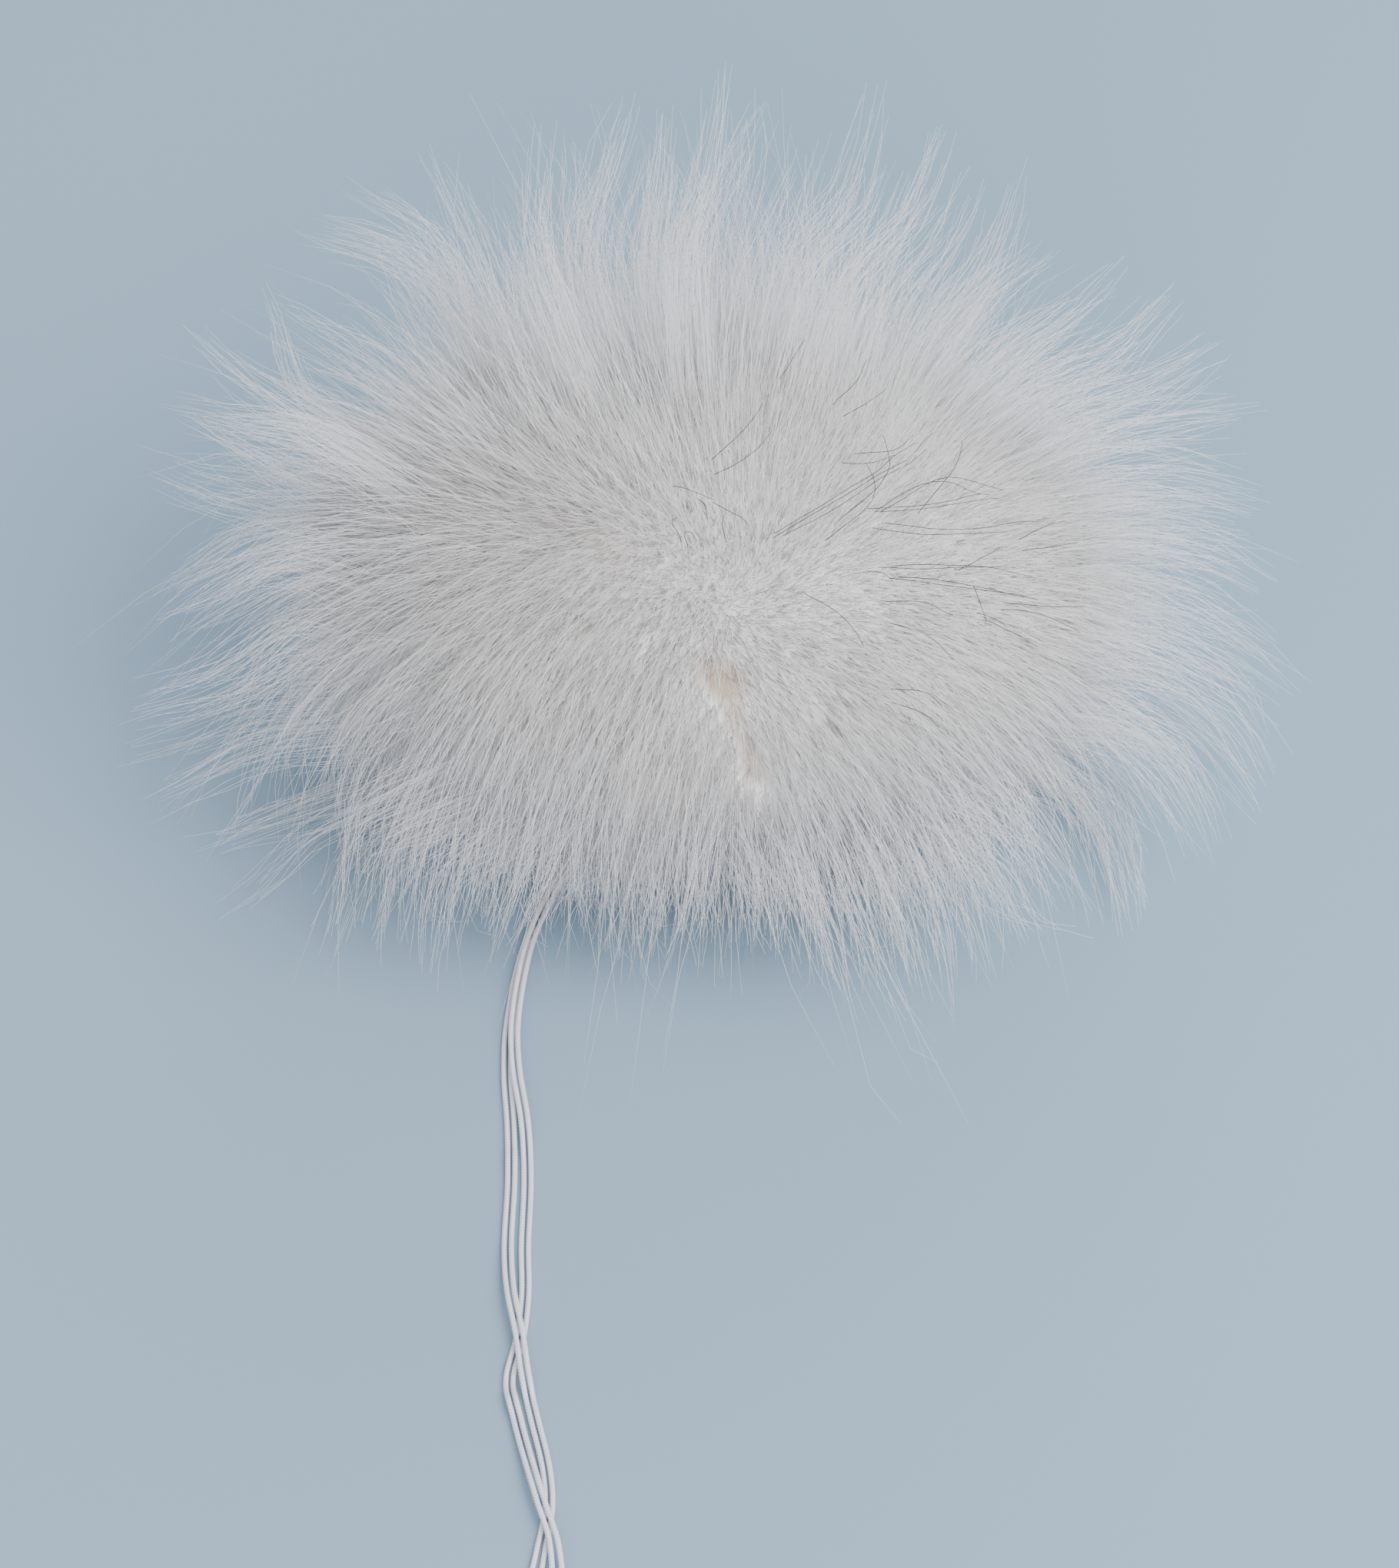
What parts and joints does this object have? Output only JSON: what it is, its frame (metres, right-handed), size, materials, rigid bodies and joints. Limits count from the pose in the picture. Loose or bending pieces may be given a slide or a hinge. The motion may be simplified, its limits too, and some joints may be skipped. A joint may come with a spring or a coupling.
{
  "type": "fur pom pom",
  "caption": "Fluffy round fur pom pom with a flat gathered back and thin tie cords for fastening it to a hat, bag or garment.",
  "frame": {"origin": "centre of the flat gathered back, on the surface that the pom pom lies on", "axes": "+Z out of the surface through the ball, away from the gathered back; -Y towards the side that the ties run to"},
  "size_m": [0.208, 0.3207, 0.1132],
  "materials": {
    "white_fur": "long soft white fur with cream roots",
    "tie_cord": "twisted white cord"
  },
  "bodies": {
    "root": {"fur_ball": "white_fur", "tie_1": "tie_cord", "tie_2": "tie_cord", "tie_3": "tie_cord", "tie_4": "tie_cord"}
  },
  "joints": []
}
